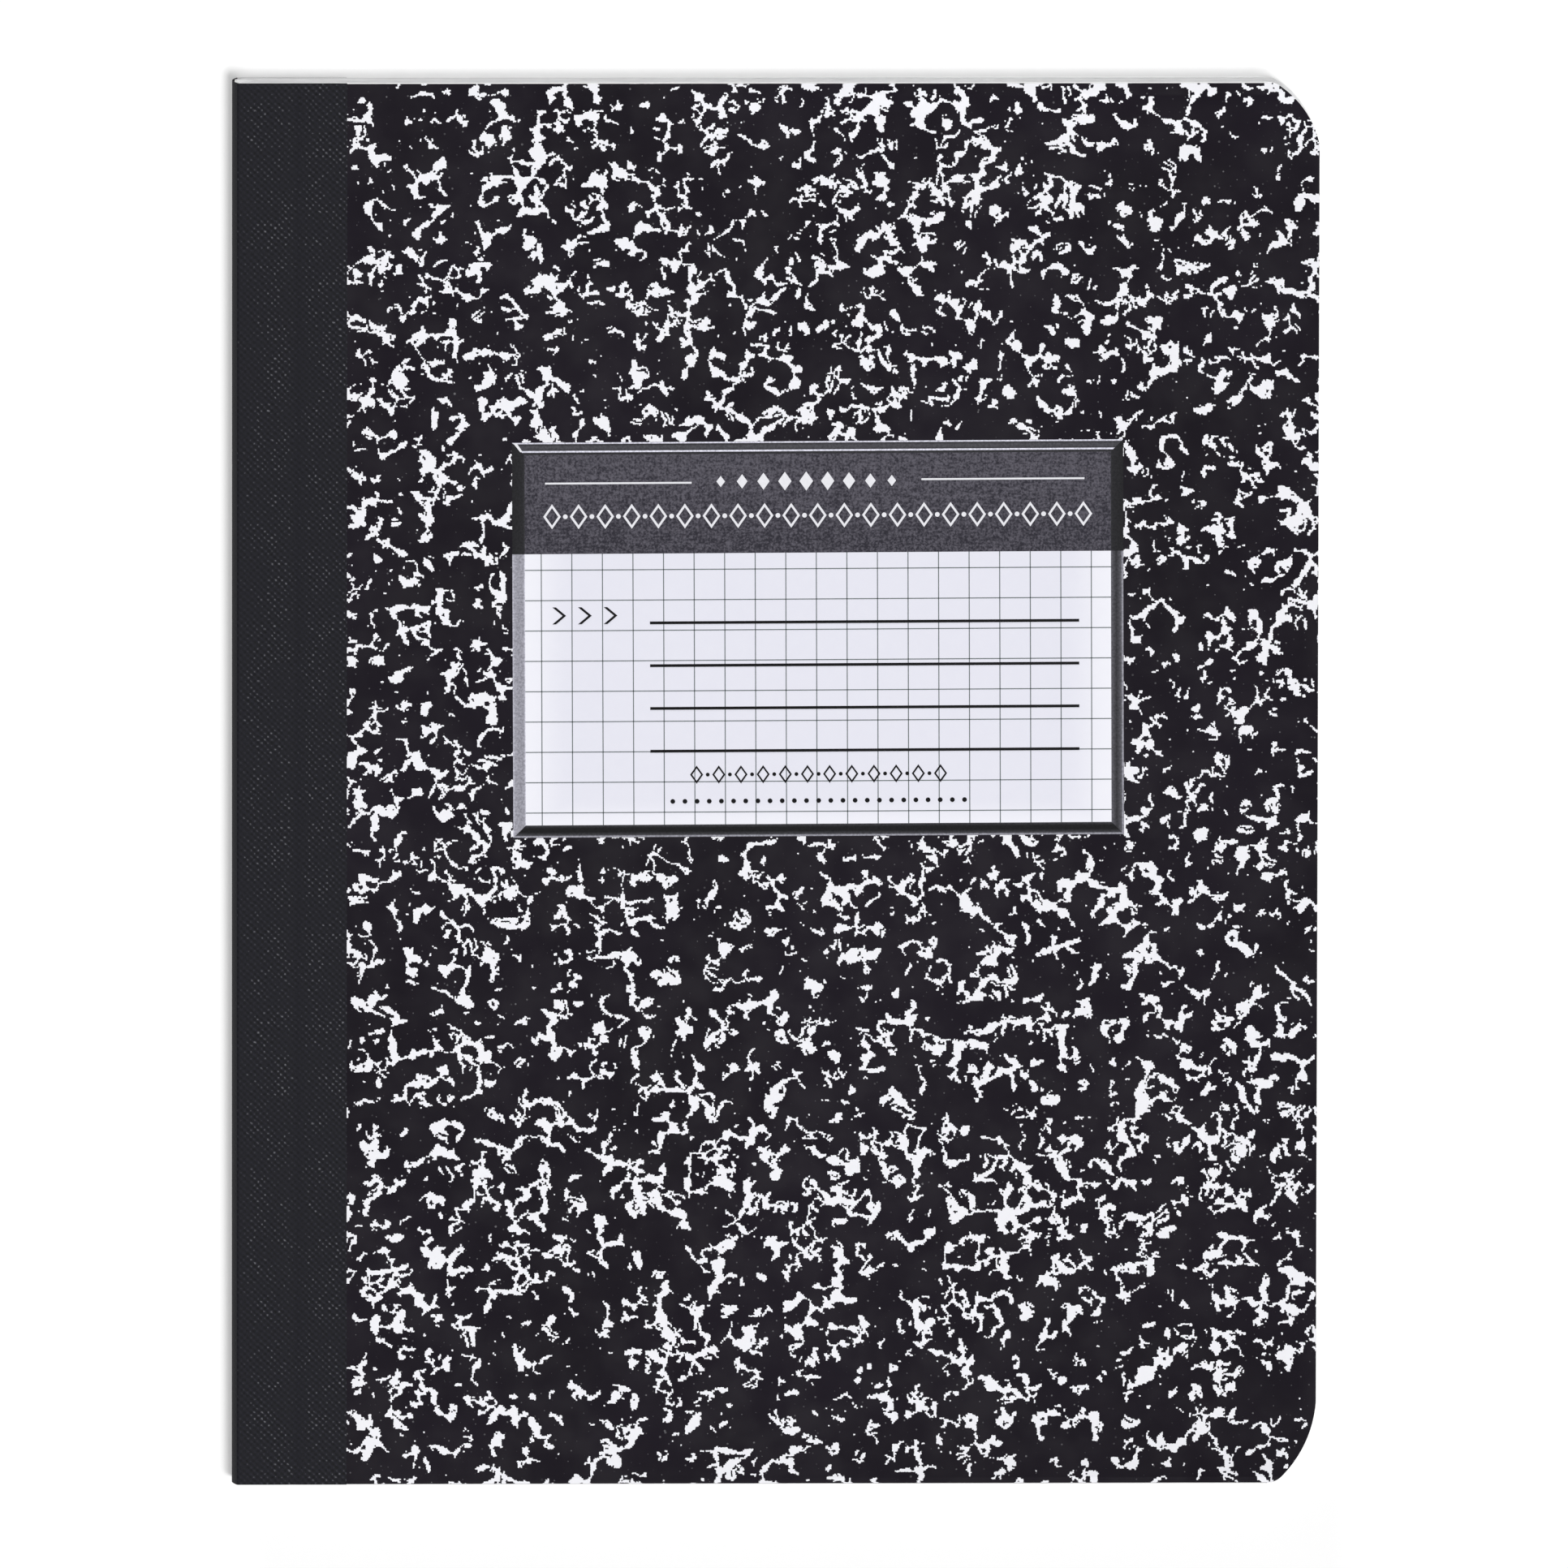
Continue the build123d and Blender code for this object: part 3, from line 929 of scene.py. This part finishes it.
writing_first_y, writing_pitch, writing_count = 2.96, 7.56, 4
writing_left, writing_right = -29.5, 45.8
writing_half = 0.25
writing_y = writing_first_y - writing_pitch * np.arange(writing_count)
writing = rectangles(writing_left, writing_right, writing_y - writing_half, writing_y + writing_half)
add_print("writing_lines", writing, 3, black_ink)

# The header's ornament: two rules with a crest of lozenges between them, over a band of hollow ones.
header_rule_left, header_rule_right = [-47.8, 18.2], [-22.1, 46.8]
header_rule_y = np.array([27.66, 28.04])  # the right rule stands a little higher
rule_half = 0.16
header_rules = rectangles(
    header_rule_left, header_rule_right, header_rule_y - rule_half, header_rule_y + rule_half
)
add_print("header_rules", header_rules, 2, white_ink)


def lozenges(x, y, half_width, half_height):
    """Lozenges that stand on a point, about places along one line."""
    x, half_width, half_height = np.broadcast_arrays(x, half_width, half_height)
    corner_x = np.array([1, 0, -1, 0])
    corner_y = np.array([0, 1, 0, -1])
    outline_x = x[:, None] + half_width[:, None] * corner_x
    return np.stack([outline_x, y + half_height[:, None] * corner_y], -1)


def hollow_lozenges(name, x, y, half_width, half_height, stroke, layer, finish):
    """A row of hollow lozenges: rings between each outline and a smaller one of the same proportions."""
    inset = stroke * 1.3  # a slanting side is narrower than its run along the row
    outer = lozenges(x, y, half_width, half_height)
    inner = lozenges(x, y, half_width - inset, half_height - inset * half_height / half_width)
    add_print_rings(name, outer, inner, layer, finish)


def dots(x, y, radius):
    """Round dots about places along one line."""
    turn = np.arange(16) * math.pi / 8
    ring = np.stack([np.cos(turn), np.sin(turn)], 1) * radius
    return ring[None] + np.stack([np.asarray(x, float), np.full(len(x), float(y))], 1)[:, None]


def between(places):
    """The middles between places along a row."""
    return (places[1:] + places[:-1]) / 2


crest_count = 9
crest_x = np.linspace(-17.0, 13.0, crest_count)
crest_swell = np.cos(np.linspace(-1, 1, crest_count) * 1.15)  # largest in the middle of the row
crest = lozenges(crest_x, header_rule_y.mean(), 0.45 + 0.75 * crest_swell, 0.5 + 1.2 * crest_swell)
add_print("header_crest", crest, 2, white_ink)

band_y = 21.8
band_x = np.linspace(-46.6, 46.6, 21)
hollow_lozenges("header_band", band_x, band_y, 1.55, 2.2, 0.36, 2, white_ink)
band_dots = dots(between(band_x), band_y, 0.42)
add_print("header_band_dots", band_dots, 2, white_ink)

# Three pointers before the first writing line, and two rows of ornament under the last one.
pointer_x = np.array([-46.6, -42.1, -37.6])
pointer_y = 4.3
pointer_shape = np.array([(0.0, -1.5), (0.62, -1.5), (2.4, 0.0), (0.62, 1.5), (0.0, 1.5), (1.78, 0.0)])
pointer_place = np.stack([pointer_x, np.full(len(pointer_x), pointer_y)], 1)
pointers = pointer_shape[None] + pointer_place[:, None]
add_print("line_pointers", pointers, 3, black_ink)

foot_x = np.linspace(-21.4, 21.4, 12)
foot_y = -23.9
hollow_lozenges("foot_lozenges", foot_x, foot_y, 1.15, 1.6, 0.28, 3, black_ink)
foot_lozenge_dots = dots(between(foot_x), foot_y, 0.34)
add_print("foot_lozenge_dots", foot_lozenge_dots, 3, black_ink)
dot_row_x = np.linspace(-25.6, 25.6, 25)
dot_row_y = -28.6
add_print("foot_dots", dots(dot_row_x, dot_row_y, 0.42), 3, black_ink)

# ---- Floor, light and camera ----
# The book lies on a white floor. A large soft lamp stands nearly overhead, towards the tail and the
# fore-edge, so that a narrow soft shadow falls beyond the spine and the head. The sky fills in.


def whiten_for_camera(tree, strength_socket, lift, strength=0.0):
    """Sets a strength for all light, and adds a lift to it for what the camera sees straight away."""
    rays = tree.nodes.new("ShaderNodeLightPath")
    total = tree.nodes.new("ShaderNodeMath")
    total.operation = "MULTIPLY_ADD"
    total.inputs[1].default_value = lift
    total.inputs[2].default_value = strength
    tree.links.new(rays.outputs["Is Camera Ray"], total.inputs[0])
    tree.links.new(total.outputs[0], strength_socket)


floor_size = 3000.0
corner = floor_size / 2
floor_z = -0.02
floor_grey = 0.69
floor_glow = 0.345  # brings the lit floor up to white
floor_points = [
    (-corner, -corner, floor_z), (corner, -corner, floor_z),
    (corner, corner, floor_z), (-corner, corner, floor_z),
]
floor_finish = bpy.data.materials.new("white_floor")
floor_finish.use_nodes = True
floor_shader = floor_finish.node_tree.nodes["Principled BSDF"]
floor_shader.inputs["Base Color"].default_value = (floor_grey, floor_grey, floor_grey, 1)
floor_shader.inputs["Roughness"].default_value = 1.0
floor_shader.inputs["Specular IOR Level"].default_value = 0.0
floor_shader.inputs["Emission Color"].default_value = (1, 1, 1, 1)
whiten_for_camera(floor_finish.node_tree, floor_shader.inputs["Emission Strength"], floor_glow)
floor = add_mesh("floor", floor_points, [(0, 1, 2, 3)], [floor_finish])

world = bpy.data.worlds.new("studio")
bpy.context.scene.world = world
world.use_nodes = True
sky = world.node_tree.nodes["Background"]
sky.inputs["Color"].default_value = (1, 1, 1, 1)
sky_fill = 0.18
whiten_for_camera(world.node_tree, sky.inputs["Strength"], 1 - sky_fill, sky_fill)


def add_sun(name, toward, strength, width_degrees):
    """A lamp at infinity that shines from the direction toward, and looks width_degrees wide."""
    lamp = bpy.data.lights.new(name, "SUN")
    lamp.energy = strength
    lamp.angle = math.radians(width_degrees)
    sun = bpy.data.objects.new(name, lamp)
    x, y, z = toward
    sun.rotation_euler = (math.atan2(math.hypot(x, y), z), 0, math.atan2(y, x) + math.pi / 2)
    bpy.context.scene.collection.objects.link(sun)


add_sun("key_lamp", toward=(0.19, -0.16, 1), strength=2.42, width_degrees=15)
add_sun("head_lamp", toward=(-0.25, 1, 0.2), strength=1.9, width_degrees=20)

# A long lens looks down on the book from a little towards the head. It aims to the right of and above the
# middle of the front board.
camera_distance = 8120.0
view_width = 275.1  # at the book's front face
aim_right, aim_up = 1.55, 0.12
tilt, swing, roll = math.radians(7.0), math.radians(-1.456), math.radians(0.0955)
sensor = 36.0
camera_data = bpy.data.cameras.new("camera")
camera_data.sensor_width = sensor
camera_data.lens = sensor * camera_distance / view_width
camera_data.clip_end = 100.0
camera = bpy.data.objects.new("camera", camera_data)
bpy.context.scene.collection.objects.link(camera)
bpy.context.scene.camera = camera
away = np.array([
    math.sin(swing), math.sin(tilt) * math.cos(swing), math.cos(tilt) * math.cos(swing),
])
level_right = np.cross([0, 1, 0], away)
level_right /= np.linalg.norm(level_right)
level_up = np.cross(away, level_right)
right = math.cos(roll) * level_right + math.sin(roll) * level_up
up = math.cos(roll) * level_up - math.sin(roll) * level_right
aim = np.array([0, 0, book_top]) + aim_right * right + aim_up * up
matrix = np.eye(4)
matrix[:3, 0] = right
matrix[:3, 1] = up
matrix[:3, 2] = away
matrix[:3, 3] = (aim + camera_distance * away) / MM
camera.matrix_world = Matrix(matrix.tolist())

bpy.context.scene.view_settings.view_transform = "Standard"
